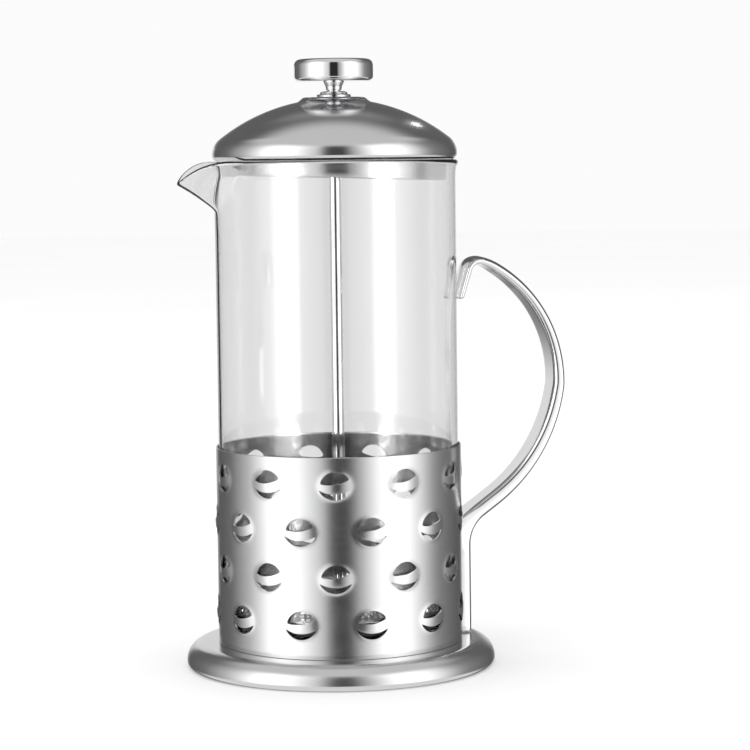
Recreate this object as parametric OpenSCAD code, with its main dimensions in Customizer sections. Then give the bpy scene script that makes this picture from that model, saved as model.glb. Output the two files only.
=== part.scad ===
// French press: a glass beaker with a pressed spout in a perforated steel sleeve on a
// flanged base, a band handle, a domed lid and a plunger with a three-plate filter.
// Millimetres. +Z is up, +X points along the handle and the spout is at -X.
// The origin is on the surface that the press stands on, on the axis of the beaker.

/* [Beaker] */
// Outside diameter of the glass
beaker_d = 96; // [92:0.5:98]
// Thickness of the glass wall
glass_t = 2.2; // [1.8:0.1:2.6]
// Height of the glass rim above the table
rim_z = 201.5; // [190:0.5:210]
// How far the spout's keel starts below the rim
spout_drop = 19; // [16:0.5:22]

/* [Base and sleeve] */
// Diameter of the base flange
flange_d = 124; // [120:1:132]
// Height of the flat top of the base flange
flange_h = 10; // [9.5:0.5:12]
// Radial gap between the glass and the sleeve
sleeve_gap = 0.5; // [0.3:0.1:0.8]
// Thickness of the sleeve's sheet
sleeve_t = 0.6; // [0.5:0.1:0.8]
// Height of the sleeve's top edge above the table
sleeve_top_z = 88.5; // [86:0.5:95]
// Rows of bean-shaped windows
bean_rows = 4; // [1:1:4]
// Windows in each row
beans_per_row = 11; // [7:1:12]
// Distance between two rows
bean_pitch_z = 18.1; // [15:0.1:18.2]
// Height of the lowest row's centre
bean_first_z = 23.3; // [18:0.1:24]
// Direction of the first window in the lowest row, in degrees from the handle
bean_turn = -90.6; // [-120:0.1:-60]

/* [Handle] */
// Distance from the axis to the outermost point of the handle
handle_reach = 95.8; // [94:0.2:98]
// Width of the handle's band
handle_w = 14; // [11:0.5:16]
// Thickness of the handle's band at its outermost point
handle_t = 5.8; // [5.4:0.1:6.2]
// Height of the outermost point of the handle
handle_mid_z = 110.8; // [109:0.2:112]

/* [Lid] */
// Diameter of the lid
lid_d = 97.4; // [95:0.2:100]
// Radius of the domed top
dome_r = 74; // [70:1:80]
// Height of the raised pad's top above the glass rim
pad_rise = 25.4; // [25:0.1:26]
// Depth that the inner skirt hangs into the glass on the handle's side
skirt_h = 7.8; // [5:0.2:9]
// Slant of the skirt's lower edge, which leaves more room at the spout, in degrees
skirt_slant = 2.1; // [0:0.1:3]

/* [Plunger] */
// Diameter of the plunger rod
rod_d = 5; // [4.6:0.2:6]
// Diameter of the knob
knob_d = 31.6; // [28:0.2:36]
// Height of the knob
knob_h = 9.2; // [8.6:0.2:12]
// Height of the filter screen when the plunger is down
screen_z = 22.8; // [22.6:0.2:40]

/* [Hidden] */
$fn = 96;
eps = 0.01;

// glass and base
glass_r = beaker_d / 2;
glass_in_r = glass_r - glass_t;
flange_r = flange_d / 2;
flange_t = 0.8;
hem_in_r = flange_r - 5.5;
hem_curl_r = 2.6;
cushion_t = 2;
cushion_r = 44;
glass_floor_t = 3;
glass_z = flange_h + cushion_t;
glass_corner_r = 9;
glass_flare = 1;
sleeve_in_r = glass_r + sleeve_gap;
sleeve_r = sleeve_in_r + sleeve_t;

// handle: arcs of its outer line from the sleeve round to the hook, in the vertical plane through the axis
low_r = 70;
low_a = -55;
kink_r = 20;
kink_a = -8.5;
main_r = 56.5;
main_top_a = 60;
mid_r = 25;
mid_top_a = 80;
hook_r = 6.4;
hook_a = 164;
hook_leg = 11.2;
tip_t = 2.6;
strip_x = sleeve_r + 5.7;
strip_seat_x = sleeve_r - 0.6;
strip_foot_z = flange_h + 0.6;
bend_r = 13;

// lid
lid_r = lid_d / 2;
lid_t = 0.8;
lid_z = rim_z + 0.3;
roll_r = 2.7;
edge_r = 8;
dome_a = asin((lid_r - edge_r) / (dome_r - edge_r));
roll_z = lid_z + roll_r;
dome_z = roll_z - (dome_r - edge_r) * cos(dome_a);
hem_r = lid_r - 3.1;
pad_r = 12.6;
pad_foot_r = 14;
pad_z = rim_z + pad_rise;
liner_t = 0.6;
liner_z = lid_z + lid_t + 0.02;
skirt_r = glass_in_r - 0.5;

// guide in the top of the lid
bush_flange_r = 6.8;
bush_flange_h = 1.2;
bush_neck_r = 5.4;
bush_neck_h = 1.2;
bush_shank_r = 4.2;
bush_shank_h = 8;
bush_top_z = pad_z + bush_flange_h + bush_neck_h;
washer_t = 0.8;
nut_h = 4;
running_gap = 0.06;

// plunger
rod_r = rod_d / 2;
thread_r = rod_r - 0.5;
thread_gap = 0.04;
stem_z = bush_top_z + 0.3;
stem_h = 3.6;
stem_low_r = 3.2;
stem_top_r = 4.1;
counterbore_h = 1;
knob_r = knob_d / 2;
knob_z = stem_z + stem_h;
insert_r = 3.4;
insert_h = 7.2;
insert_bore_h = 6.4;
collar_r = 7;
collar_t = 1.5;

// filter: cross plate below, screen between, coil plate above
plate_t = 0.8;
mesh_t = 0.4;
coil_z = screen_z + mesh_t;
coil_top_z = coil_z + plate_t;
coil_rim_r = glass_in_r - 3.5;
spring_wire_r = 1.55;
spring_r = glass_in_r - 0.35 - spring_wire_r;
spring_z = coil_top_z + 1.8;
boss_r = 6.5;
boss_h = 1.5;
boss_shank_r = 4;
boss_z = screen_z - plate_t - boss_h;
cross_r = 41;

// Points along an arc in a profile, from angle a0 to a1 in n steps
function arc(c, r, a0, a1, n) =
  [for (i = [0:n]) let (a = a0 + (a1 - a0) * i / n) c + r * [cos(a), sin(a)]];

// A height on the lid's sphere, inset by the sheet's thickness
function dome_height(r, inset) = dome_z + sqrt(pow(dome_r - inset, 2) - r * r);

// A ring or disc between two radii and two heights
module ring(r_in, r_out, z0, z1) {
  translate([0, 0, z0])
    difference() {
      cylinder(r = r_out, h = z1 - z0);
      if (r_in > 0) translate([0, 0, -1]) cylinder(r = r_in, h = z1 - z0 + 2);
    }
}

// ---- base ------------------------------------------------------------------

// Half section of the flange's sheet, inset by t from its outer surface
function flange_side(t) = concat(
  arc([flange_r - 7.4, flange_h - 7.4], 7.4 - t, 90, 0, 12),
  arc([flange_r - hem_curl_r, hem_curl_r], hem_curl_r - t, 0, -90, 6));

module base_flange() {
  color("silver")
    rotate_extrude($fn = 128)
      polygon(concat(
        [[0, flange_h]],
        flange_side(0),
        [[hem_in_r, 0], [hem_in_r, flange_t]],
        [for (i = [len(flange_side(flange_t)) - 1:-1:0]) flange_side(flange_t)[i]],
        [[0, flange_h - flange_t]]));
}

// Flat disc that the flange's hem holds, with a raised middle for stiffness
module bottom_plate() {
  rise = 2;
  edge_r = hem_in_r + 2.2;
  z0 = flange_t;
  z1 = z0 + flange_t;
  color("gainsboro")
    rotate_extrude($fn = 128)
      polygon([
        [0, z0 + rise], [40, z0 + rise], [42, z0], [edge_r, z0],
        [edge_r, z1], [42 - 0.3, z1], [40 - 0.3, z1 + rise], [0, z1 + rise]
      ]);
}

// Soft pad under the glass, with a drain hole and a shallow groove round it
module base_cushion() {
  groove_r = 30;
  color("dimgray")
    difference() {
      ring(6, cushion_r, flange_h, glass_z);
      ring(groove_r, groove_r + 3, glass_z - 0.8, glass_z + 1);
    }
}

// ---- sleeve ----------------------------------------------------------------

// Leaf-shaped upper opening of a bean, in the plane of the unrolled sheet
module bean_leaf() {
  intersection() {
    translate([0.3, -0.6]) circle(r = 6.2, $fn = 64);
    translate([-2.2, 17.2]) circle(r = 16.9, $fn = 96);
  }
}

// Smile-shaped lower opening of a bean
module bean_smile() {
  difference() {
    translate([0, 1.5]) circle(r = 7.1, $fn = 64);
    translate([0, 9.3]) circle(r = 12.5, $fn = 96);
  }
}

// One bean: two openings with the bar of the bean's crease between them
module bean_cut(turn, z) {
  rotate([0, 0, turn])
    translate([sleeve_in_r - 3, 0, z])
      rotate([90, 0, 90])
        linear_extrude(height = sleeve_t + 6) {
          bean_leaf();
          bean_smile();
        }
}

module sleeve() {
  step = 360 / beans_per_row;
  color("lightgray")
    difference() {
      ring(sleeve_in_r, sleeve_r, flange_h, sleeve_top_z);
      for (row = [0:bean_rows - 1], i = [0:beans_per_row - 1])
        bean_cut(bean_turn + step * (i + (row % 2) / 2), bean_first_z + bean_pitch_z * row);
    }
}

// ---- handle ----------------------------------------------------------------

function flat(a) = [cos(a), sin(a)];

// Thickness of the band where its outer side faces direction a
function band_t(a) = lookup(a, [
  [low_a, handle_t + 1.1], [0, handle_t], [main_top_a, handle_t - 1.5],
  [mid_top_a, handle_t - 2.7], [hook_a, handle_t - 2.8]]);

// Points and outward directions along one arc of the band's outer line
function run(c, r, a0, a1, n) =
  [for (i = [0:n]) let (a = a0 + (a1 - a0) * i / n) [c + r * flat(a), a]];

// Side outline of the band: up the strip and round the loop outside, back round inside
module handle_outline() {
  main_c = [handle_reach - main_r, handle_mid_z];
  kink_c = main_c + [main_r - kink_r, 0];
  low_c = kink_c + (kink_r - low_r) * flat(kink_a);
  mid_c = main_c + (main_r - mid_r) * flat(main_top_a);
  hook_c = mid_c + (mid_r - hook_r) * flat(mid_top_a);
  outer = concat(
    run(low_c, low_r, low_a, kink_a, 18),
    run(kink_c, kink_r, kink_a + 2, -2, 2),
    run(main_c, main_r, 0, main_top_a, 24),
    run(mid_c, mid_r, main_top_a + 4, mid_top_a - 4, 3),
    run(hook_c, hook_r, mid_top_a, hook_a, 8));
  low = outer[0][0];
  bend_x = strip_x + bend_r;
  bend_z = low[1] + ((bend_x - low[0]) * cos(low_a) - bend_r) / -sin(low_a);
  inner_low = low - band_t(low_a) * flat(low_a);
  seat_z = inner_low[1] - (inner_low[0] - strip_seat_x) / tan(-low_a);
  leg_end = outer[len(outer) - 1][0] + hook_leg * flat(hook_a + 90);
  polygon(concat(
    [[strip_x, strip_foot_z]],
    arc([bend_x, bend_z], bend_r, 180, 180 + low_a, 8),
    [for (p = outer) p[0]],
    arc(leg_end - tip_t / 2 * flat(hook_a), tip_t / 2, hook_a, hook_a + 180, 8),
    [for (i = [len(outer) - 1:-1:0]) outer[i][0] - band_t(outer[i][1]) * flat(outer[i][1])],
    [[strip_seat_x, seat_z], [strip_seat_x, strip_foot_z]]));
}

// Band handle: its lower strip is shaped to the sleeve that it is welded to
module handle() {
  color("silver")
    difference() {
      rotate([90, 0, 0])
        linear_extrude(height = handle_w, center = true)
          handle_outline();
      translate([0, 0, flange_h]) cylinder(r = sleeve_r, h = sleeve_top_z - flange_h);
    }
}

// ---- beaker ----------------------------------------------------------------

spout_reach = 15.5;
spout_tip_r = 2.6;
spout_tip = [glass_r + spout_reach - spout_tip_r, rim_z - 10.3];
spout_keel_r = 3;
spout_half_a = 27;
lip_r = 20.5;

// Beak of the spout: a tip and a keel below, two rounded cheeks above, moved in by inset
module spout_beak(inset) {
  top = rim_z + 2;
  hull() {
    translate([-spout_tip[0], 0, spout_tip[1]]) {
      sphere(r = spout_tip_r - inset, $fn = 24);
      cylinder(r = spout_tip_r - inset, h = top - spout_tip[1], $fn = 24);
    }
    translate([-glass_r + 3.1, 0, rim_z - spout_drop + spout_keel_r])
      sphere(r = spout_keel_r - inset, $fn = 24);
    for (side = [-1, 1]) {
      translate([-glass_r - 5.6 + inset / 2, side * (10.5 - inset), rim_z - 5])
        cylinder(r = 1.5, h = 7, $fn = 24);
      rotate([0, 0, side * spout_half_a])
        translate([-glass_r + 1 + inset, 0, rim_z - 6])
          cylinder(r = 1, h = 8, $fn = 24);
    }
  }
}

module beaker() {
  corner_in_r = glass_corner_r - glass_t;
  floor_z = glass_z + glass_floor_t;
  color([0.85, 0.9, 0.92, 0.35])
    difference() {
      union() {
        rotate_extrude($fn = 128)
          polygon(concat(
            [[0, glass_z]],
            arc([glass_r - glass_corner_r, glass_z + glass_corner_r], glass_corner_r, -90, 0, 8),
            [[glass_r, rim_z - 5], [glass_r + 0.4, rim_z - 2.5], [glass_r + glass_flare, rim_z - 0.7],
             [glass_r + glass_flare - 0.4, rim_z], [0, rim_z]]));
        intersection() {
          spout_beak(0);
          translate([-glass_r + 0.5, 0, rim_z - lip_r - 0.5])
            rotate([90, 0, 0])
              cylinder(r = lip_r, h = 60, center = true, $fn = 96);
        }
      }
      rotate_extrude($fn = 128)
        polygon(concat(
          [[0, floor_z]],
          arc([glass_in_r - corner_in_r, floor_z + corner_in_r], corner_in_r, -90, 0, 8),
          [[glass_in_r, rim_z - 3], [glass_in_r + 0.7, rim_z + 1], [0, rim_z + 1]]));
      spout_beak(1.9);
    }
}

// ---- lid -------------------------------------------------------------------

// Section of the lid's sheet from the pad's foot to the rolled hem, inset by t
function dome_side(t) = concat(
  [for (i = [0:14]) let (r = pad_foot_r + ((dome_r - t) * sin(dome_a) - pad_foot_r) * i / 14)
    [r, dome_height(r, t)]],
  arc([lid_r - edge_r, roll_z], edge_r - t, 80 - dome_a, 0, 8),
  arc([lid_r - roll_r, roll_z], roll_r - t, -10, -90, 8));

// Domed cover with a raised round pad on top, a hole for the guide and a rolled edge
module lid_dome() {
  color("silver")
    rotate_extrude($fn = 128)
      polygon(concat(
        [[bush_shank_r, pad_z], [pad_r, pad_z]],
        dome_side(0),
        [[hem_r, lid_z], [hem_r, lid_z + lid_t]],
        [for (i = [len(dome_side(lid_t)) - 1:-1:0]) dome_side(lid_t)[i]],
        [[pad_r - 0.3, pad_z - lid_t], [bush_shank_r, pad_z - lid_t]]));
}

// Shallow pan that closes the dome from below, its skirt hanging inside the glass
module lid_liner() {
  low_z = rim_z - skirt_h;
  color("gainsboro")
    difference() {
      rotate_extrude($fn = 128)
        polygon([
          [bush_neck_r, liner_z], [skirt_r - liner_t, liner_z], [skirt_r - liner_t - 0.5, low_z - 1],
          [skirt_r - 0.5, low_z - 1], [skirt_r, liner_z], [hem_r + 0.7, liner_z],
          [hem_r + 0.7, liner_z + liner_t], [bush_neck_r, liner_z + liner_t]
        ]);
      translate([0, 0, low_z + skirt_r * tan(skirt_slant)])
        rotate([0, skirt_slant, 0])
          translate([-60, -60, -20]) cube([120, 120, 20]);
    }
}

// Flanged bush that guides the rod through the lid
module guide_bush() {
  color("silver")
    difference() {
      union() {
        ring(0, bush_flange_r, pad_z, pad_z + bush_flange_h);
        ring(0, bush_neck_r, pad_z + bush_flange_h - eps, bush_top_z);
        ring(0, bush_shank_r, pad_z - bush_shank_h, pad_z + eps);
      }
      ring(0, rod_r + running_gap, pad_z - bush_shank_h - 1, bush_top_z + 1);
    }
}

module guide_washer() {
  color("white")
    ring(bush_shank_r, bush_flange_r + 1.2, pad_z - lid_t - washer_t, pad_z - lid_t);
}

// Hexagonal nut that clamps the bush from inside the lid
module guide_nut() {
  nut_z = pad_z - lid_t - washer_t - nut_h;
  color("gray")
    difference() {
      translate([0, 0, nut_z]) cylinder(r = bush_flange_r + 0.7, h = nut_h, $fn = 6);
      translate([0, 0, nut_z - 1]) cylinder(r = bush_shank_r, h = nut_h + 2);
    }
}

// ---- rod and knob ----------------------------------------------------------

// Rod with a reduced thread at each end
module rod() {
  shoulder_z = stem_z + counterbore_h - 0.05;
  color("silver") {
    union() {
      ring(0, rod_r, coil_top_z, shoulder_z);
      ring(0, thread_r, boss_z, coil_top_z + eps);
      ring(0, thread_r, shoulder_z - eps, knob_z + insert_bore_h - 0.1);
    }
  }
}

// Collar welded to the rod, which the coil plate is clamped against
module rod_collar() {
  color("silver")
    ring(rod_r, collar_r, coil_top_z, coil_top_z + collar_t);
}

// Round knob, slightly crowned, with a pocket for its insert
module knob() {
  low_r = 2;
  top_r = 2.6;
  top_z = knob_z + knob_h;
  crown = 0.5;
  color("silver")
    difference() {
      rotate_extrude($fn = 128)
        polygon(concat(
          [[0, knob_z]],
          arc([knob_r - low_r, knob_z + low_r], low_r, -90, 0, 8),
          arc([knob_r - top_r, top_z - crown - top_r], top_r, 0, 80, 8),
          [[0, top_z]]));
      ring(0, insert_r, knob_z - 1, knob_z + insert_h);
    }
}

module knob_insert() {
  color("goldenrod")
    difference() {
      ring(0, insert_r, knob_z, knob_z + insert_h);
      ring(0, thread_r + thread_gap, knob_z - 1, knob_z + insert_bore_h);
    }
}

// Short tapered neck under the knob that locks it on the rod
module knob_stem() {
  color("silver")
    difference() {
      translate([0, 0, stem_z]) cylinder(r1 = stem_low_r, r2 = stem_top_r, h = stem_h);
      ring(0, thread_r + thread_gap, stem_z - 1, knob_z + 1);
      ring(0, rod_r + thread_gap, stem_z - 1, stem_z + counterbore_h);
    }
}

// ---- filter ----------------------------------------------------------------

// Holes spaced evenly on a circle
module hole_circle(count, on_r, hole_r, z) {
  for (i = [0:count - 1])
    rotate([0, 0, 360 * i / count])
      translate([on_r, 0, z])
        cylinder(r = hole_r, h = 4, center = true, $fn = 32);
}

// Upper plate, whose upturned rim carries the coil spring
module coil_plate() {
  lip_z = spring_z + spring_wire_r + 0.3;
  color("silver")
    difference() {
      rotate_extrude($fn = 128)
        polygon([
          [boss_shank_r, coil_z], [spring_r + 0.7, coil_z], [spring_r + 0.7, coil_top_z],
          [coil_rim_r, coil_top_z], [coil_rim_r, lip_z], [spring_r - 0.8, lip_z],
          [spring_r - 0.8, lip_z + 0.6], [coil_rim_r - 0.6, lip_z + 0.6],
          [coil_rim_r - 0.6, coil_top_z], [boss_shank_r, coil_top_z]
        ]);
      hole_circle(12, 32, 4, coil_z);
      hole_circle(8, 19, 3.5, coil_z);
    }
}

// Envelope of the coil spring that is bent into a ring round the coil plate
module edge_spring() {
  color("gainsboro")
    translate([0, 0, spring_z])
      rotate_extrude($fn = 128)
        translate([spring_r, 0]) circle(r = spring_wire_r, $fn = 32);
}

module filter_screen() {
  color("darkgray")
    ring(boss_shank_r, glass_in_r - 0.6, screen_z, screen_z + mesh_t);
}

// Lower plate, cut away between six spokes
module cross_plate() {
  spoke_w = 5;
  color("silver")
    translate([0, 0, screen_z - plate_t])
      linear_extrude(height = plate_t)
        difference() {
          circle(r = cross_r, $fn = 128);
          difference() {
            circle(r = cross_r - 5, $fn = 128);
            circle(r = 12, $fn = 96);
            for (i = [0:2])
              rotate([0, 0, 60 * i]) square([2 * cross_r, spoke_w], center = true);
          }
          circle(r = boss_shank_r, $fn = 64);
        }
}

// Threaded boss that screws onto the rod and holds the three plates
module hub_boss() {
  color("silver")
    difference() {
      union() {
        ring(0, boss_r, boss_z, boss_z + boss_h);
        ring(0, boss_shank_r, boss_z + boss_h - eps, coil_top_z - 0.05);
      }
      ring(0, thread_r + thread_gap, boss_z - 1, coil_top_z + 1);
    }
}

base_flange();
bottom_plate();
base_cushion();
sleeve();
handle();
beaker();
lid_dome();
lid_liner();
guide_bush();
guide_washer();
guide_nut();
rod();
rod_collar();
knob();
knob_insert();
knob_stem();
coil_plate();
edge_spring();
filter_screen();
cross_plate();
hub_boss();
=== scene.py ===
import math

import bmesh
import bpy
import numpy as np
from mathutils import Matrix, Vector
from mathutils.geometry import delaunay_2d_cdt


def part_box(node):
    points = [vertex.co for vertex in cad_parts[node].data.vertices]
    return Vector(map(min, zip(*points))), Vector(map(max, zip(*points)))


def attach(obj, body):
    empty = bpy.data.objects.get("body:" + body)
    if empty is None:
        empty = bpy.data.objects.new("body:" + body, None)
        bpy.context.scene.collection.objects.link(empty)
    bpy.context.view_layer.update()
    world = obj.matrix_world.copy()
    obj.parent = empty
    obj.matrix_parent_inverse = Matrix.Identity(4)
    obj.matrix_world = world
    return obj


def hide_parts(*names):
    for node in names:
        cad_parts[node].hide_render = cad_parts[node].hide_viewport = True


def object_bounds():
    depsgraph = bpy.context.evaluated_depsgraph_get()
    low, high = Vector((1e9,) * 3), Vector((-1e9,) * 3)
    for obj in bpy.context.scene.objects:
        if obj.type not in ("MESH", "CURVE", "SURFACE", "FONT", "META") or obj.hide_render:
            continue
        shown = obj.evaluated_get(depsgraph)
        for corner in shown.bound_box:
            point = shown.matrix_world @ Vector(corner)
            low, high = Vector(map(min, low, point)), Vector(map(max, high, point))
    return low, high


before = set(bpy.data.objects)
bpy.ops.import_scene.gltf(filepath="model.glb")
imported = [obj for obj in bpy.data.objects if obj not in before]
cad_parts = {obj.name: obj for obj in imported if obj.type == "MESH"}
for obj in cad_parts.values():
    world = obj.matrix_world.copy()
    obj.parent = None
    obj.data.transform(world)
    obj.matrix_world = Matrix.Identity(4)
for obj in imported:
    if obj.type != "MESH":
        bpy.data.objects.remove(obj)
CAD_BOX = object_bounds()

# Sizes are in millimetres until a mesh is made; MM turns them into Blender's metres.
MM = 0.001
TAU = 2 * math.pi


# ---- places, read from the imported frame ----


def box(node):
    """Lowest and highest corner of a CAD node, in millimetres."""
    low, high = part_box(node)
    return low / MM, high / MM


SLEEVE_LOW, SLEEVE_HIGH = box("sleeve")
BEAKER_LOW, BEAKER_HIGH = box("beaker")
FLANGE_HIGH = box("base_flange")[1]
DOME_LOW, DOME_HIGH = box("lid_dome")
LINER_LOW, LINER_HIGH = box("lid_liner")
BUSH_LOW, BUSH_HIGH = box("guide_bush")
STEM_LOW, STEM_HIGH = box("knob_stem")
KNOB_LOW, KNOB_HIGH = box("knob")
ROD_LOW, ROD_HIGH = box("rod")
COLLAR_LOW, COLLAR_HIGH = box("rod_collar")
COIL_LOW, COIL_HIGH = box("coil_plate")
SPRING_LOW, SPRING_HIGH = box("edge_spring")
SCREEN_LOW, SCREEN_HIGH = box("filter_screen")
CROSS_LOW, CROSS_HIGH = box("cross_plate")
BOSS_LOW, BOSS_HIGH = box("hub_boss")
PLATE_LOW, PLATE_HIGH = box("bottom_plate")
CUSHION_LOW, CUSHION_HIGH = box("base_cushion")
HANDLE_LOW, HANDLE_HIGH = box("handle")

SLEEVE_R = SLEEVE_HIGH.y
SLEEVE_T = 0.6
RIM_Z = BEAKER_HIGH.z
GLASS_FLARE = 1.0
GLASS_R = BEAKER_HIGH.y - GLASS_FLARE
GLASS_T = 2.2
GLASS_FLOOR_T = 3.0


# ---- outlines ----


def arc(centre, radius, start, end, step=6):
    """Points along a circular arc, angles in degrees."""
    count = max(2, math.ceil(abs(end - start) / step))
    angles = [math.radians(start + (end - start) * i / count) for i in range(count + 1)]
    return [(centre[0] + radius * math.cos(a), centre[1] + radius * math.sin(a)) for a in angles]


def rounded(corners, closed=False, step=10):
    """A polyline with an arc at every corner that has a radius: corners are (x, y) or (x, y, radius)."""
    out = []
    count = len(corners)
    for i, corner in enumerate(corners):
        here = Vector(corner[:2])
        radius = corner[2] if len(corner) > 2 else 0
        at_end = not closed and i in (0, count - 1)
        if radius <= 0 or at_end:
            out.append(tuple(here))
            continue
        to_last = (Vector(corners[i - 1][:2]) - here).normalized()
        to_next = (Vector(corners[(i + 1) % count][:2]) - here).normalized()
        half = to_last.angle(to_next) / 2
        if half > math.pi / 2 - 0.01:
            out.append(tuple(here))
            continue
        centre = here + (to_last + to_next).normalized() * (radius / math.sin(half))
        first = here + to_last * (radius / math.tan(half)) - centre
        last = here + to_next * (radius / math.tan(half)) - centre
        turn = math.degrees(first.angle_signed(last))
        start = math.degrees(math.atan2(first.y, first.x))
        out += arc(centre, radius, start, start - turn, step)
    return out


def sheet(path, thickness):
    """Closed outline of sheet metal whose middle follows an open path, with rounded edges."""
    points = np.array(path)
    along = np.gradient(points, axis=0)
    along /= np.linalg.norm(along, axis=1)[:, None]
    normal = np.stack([-along[:, 1], along[:, 0]], 1) * thickness / 2
    steps = 6
    caps = []
    for end, sign in ((-1, 1), (0, -1)):
        for i in range(1, steps):
            a = math.pi * i / steps
            offset = normal[end] * math.cos(a) + along[end] * thickness / 2 * math.sin(a)
            caps.append(points[end] + sign * offset)
    return np.vstack([points + normal, caps[:steps - 1], (points - normal)[::-1], caps[steps - 1:]])


# ---- meshes ----


def make_piece(name, verts, faces, body, material, stands_for=(), sharp=35):
    """A mesh object in metres that rides on a body and takes the material's record slot."""
    mesh = bpy.data.meshes.new(name)
    mesh.from_pydata([tuple(v) for v in np.asarray(verts, float) * MM], [], [tuple(f) for f in faces])
    bm = bmesh.new()
    bm.from_mesh(mesh)
    bmesh.ops.remove_doubles(bm, verts=bm.verts, dist=0.002 * MM)
    bmesh.ops.recalc_face_normals(bm, faces=bm.faces)
    bm.to_mesh(mesh)
    bm.free()
    mesh.shade_smooth()
    mesh.set_sharp_from_angle(angle=math.radians(sharp))
    piece = bpy.data.objects.new(name, mesh)
    bpy.context.scene.collection.objects.link(piece)
    mesh.materials.append(material)
    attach(piece, body)
    if stands_for:
        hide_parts(*stands_for)
    return piece


def lathe(outline, segments=192, closed=True):
    """Vertices and faces of an outline of (radius, height) turned round the Z axis."""
    verts, rows = [], []
    angles = np.arange(segments) * TAU / segments
    for r, z in outline:
        first = len(verts)
        if abs(r) < 1e-6:
            verts.append((0.0, 0.0, z))
            rows.append([first] * segments)
        else:
            verts += [(r * c, r * s, z) for c, s in zip(np.cos(angles), np.sin(angles))]
            rows.append(list(range(first, first + segments)))
    faces = []
    for i in range(len(rows) if closed else len(rows) - 1):
        low, high = rows[i], rows[(i + 1) % len(rows)]
        for j in range(segments):
            k = (j + 1) % segments
            face = list(dict.fromkeys([low[j], low[k], high[k], high[j]]))
            if len(face) > 2:
                faces.append(face)
    return verts, faces


def ring_faces(rings, count, closed=False):
    """Quads between rings of points that follow one another, each ring with the same count of points."""
    faces = []
    for i in range(rings if closed else rings - 1):
        n = (i + 1) % rings
        for j in range(count):
            k = (j + 1) % count
            faces.append([i * count + j, i * count + k, n * count + k, n * count + j])
    return faces


def joined(*meshes):
    """Several (vertices, faces) as one."""
    verts, faces = [], []
    for more_verts, more_faces in meshes:
        start = len(verts)
        verts += [tuple(v) for v in more_verts]
        faces += [[start + i for i in face] for face in more_faces]
    return verts, faces


def tube(path, radius, sides=6, closed=False):
    """A round wire along a path of 3-D points."""
    points = np.array(path, float)
    count = len(points)
    if closed:
        along = np.roll(points, -1, 0) - np.roll(points, 1, 0)
    else:
        along = np.gradient(points, axis=0)
    along /= np.linalg.norm(along, axis=1)[:, None]
    up = np.cross(along[0], (0.3, 0.2, 1.0))
    normals = []
    for t in along:
        up = up - t * np.dot(up, t)
        up = up / np.linalg.norm(up)
        normals.append(up)
    normals = np.array(normals)
    side = np.cross(along, normals)
    verts = []
    for i in range(count):
        for k in range(sides):
            a = TAU * k / sides
            verts.append(points[i] + radius * (math.cos(a) * normals[i] + math.sin(a) * side[i]))
    faces = ring_faces(count, sides, closed)
    if not closed:
        faces.append(list(range(sides)))
        faces.append([(count - 1) * sides + k for k in range(sides)][::-1])
    return verts, faces


def circle_loop(centre, radius, count):
    """Points round a circle, anticlockwise."""
    angles = [TAU * i / count for i in range(count)]
    return [(centre[0] + radius * math.cos(a), centre[1] + radius * math.sin(a)) for a in angles]


def inset_loop(loop, distance):
    """A smooth loop moved to its left by a distance."""
    points = np.array(loop)
    along = np.roll(points, -1, 0) - np.roll(points, 1, 0)
    along /= np.linalg.norm(along, axis=1)[:, None]
    return points + distance * np.stack([-along[:, 1], along[:, 0]], 1)


def inside_loop(points, loop):
    """Which points lie inside a closed loop."""
    points, loop = np.asarray(points, float), np.asarray(loop, float)
    nxt = np.roll(loop, -1, 0)
    x, y = points[:, None, 0], points[:, None, 1]
    crosses = (loop[None, :, 1] > y) != (nxt[None, :, 1] > y)
    run, rise = nxt[None, :, 0] - loop[None, :, 0], nxt[None, :, 1] - loop[None, :, 1]
    with np.errstate(divide="ignore", invalid="ignore"):
        at = run * (y - loop[None, :, 1]) / rise
        at = at + loop[None, :, 0]
    return (crosses & (x < at)).sum(1) % 2 == 1


def triangulate(loops, extra=()):
    """Delaunay triangles over the points of closed loops and extra points, the loops' edges kept."""
    coords, edges = [], []
    for loop in loops:
        first = len(coords)
        coords += [Vector((float(p[0]), float(p[1]))) for p in loop]
        edges += [(first + i, first + (i + 1) % len(loop)) for i in range(len(loop))]
    coords += [Vector((float(p[0]), float(p[1]))) for p in extra]
    verts, _, faces, _, _, _ = delaunay_2d_cdt(coords, edges, [], 0, 1e-6)
    return np.array([tuple(v) for v in verts]), [list(f) for f in faces]


def plate(outer, holes, low_z, high_z, bevel=0.12):
    """A flat plate with holes and small bevels on all its edges. Outer runs anticlockwise, holes too."""
    loops = [np.array(outer)] + [np.array(h)[::-1] for h in holes]
    flat_loops = [inset_loop(loop, bevel) for loop in loops]
    verts, faces = triangulate(flat_loops)
    centres = np.array([verts[f].mean(0) for f in faces])
    keep = inside_loop(centres, flat_loops[0])
    for hole in flat_loops[1:]:
        keep &= ~inside_loop(centres, hole)
    faces = [f for f, k in zip(faces, keep) if k]
    parts = [([(x, y, z) for x, y in verts], faces) for z in (low_z, high_z)]
    for loop, flat_loop in zip(loops, flat_loops):
        rings = [(flat_loop, low_z), (loop, low_z + bevel), (loop, high_z - bevel), (flat_loop, high_z)]
        wall = [(x, y, z) for points, z in rings for x, y in points]
        parts.append((wall, ring_faces(len(rings), len(loop))))
    return joined(*parts)


# ---- material nodes ----


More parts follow.
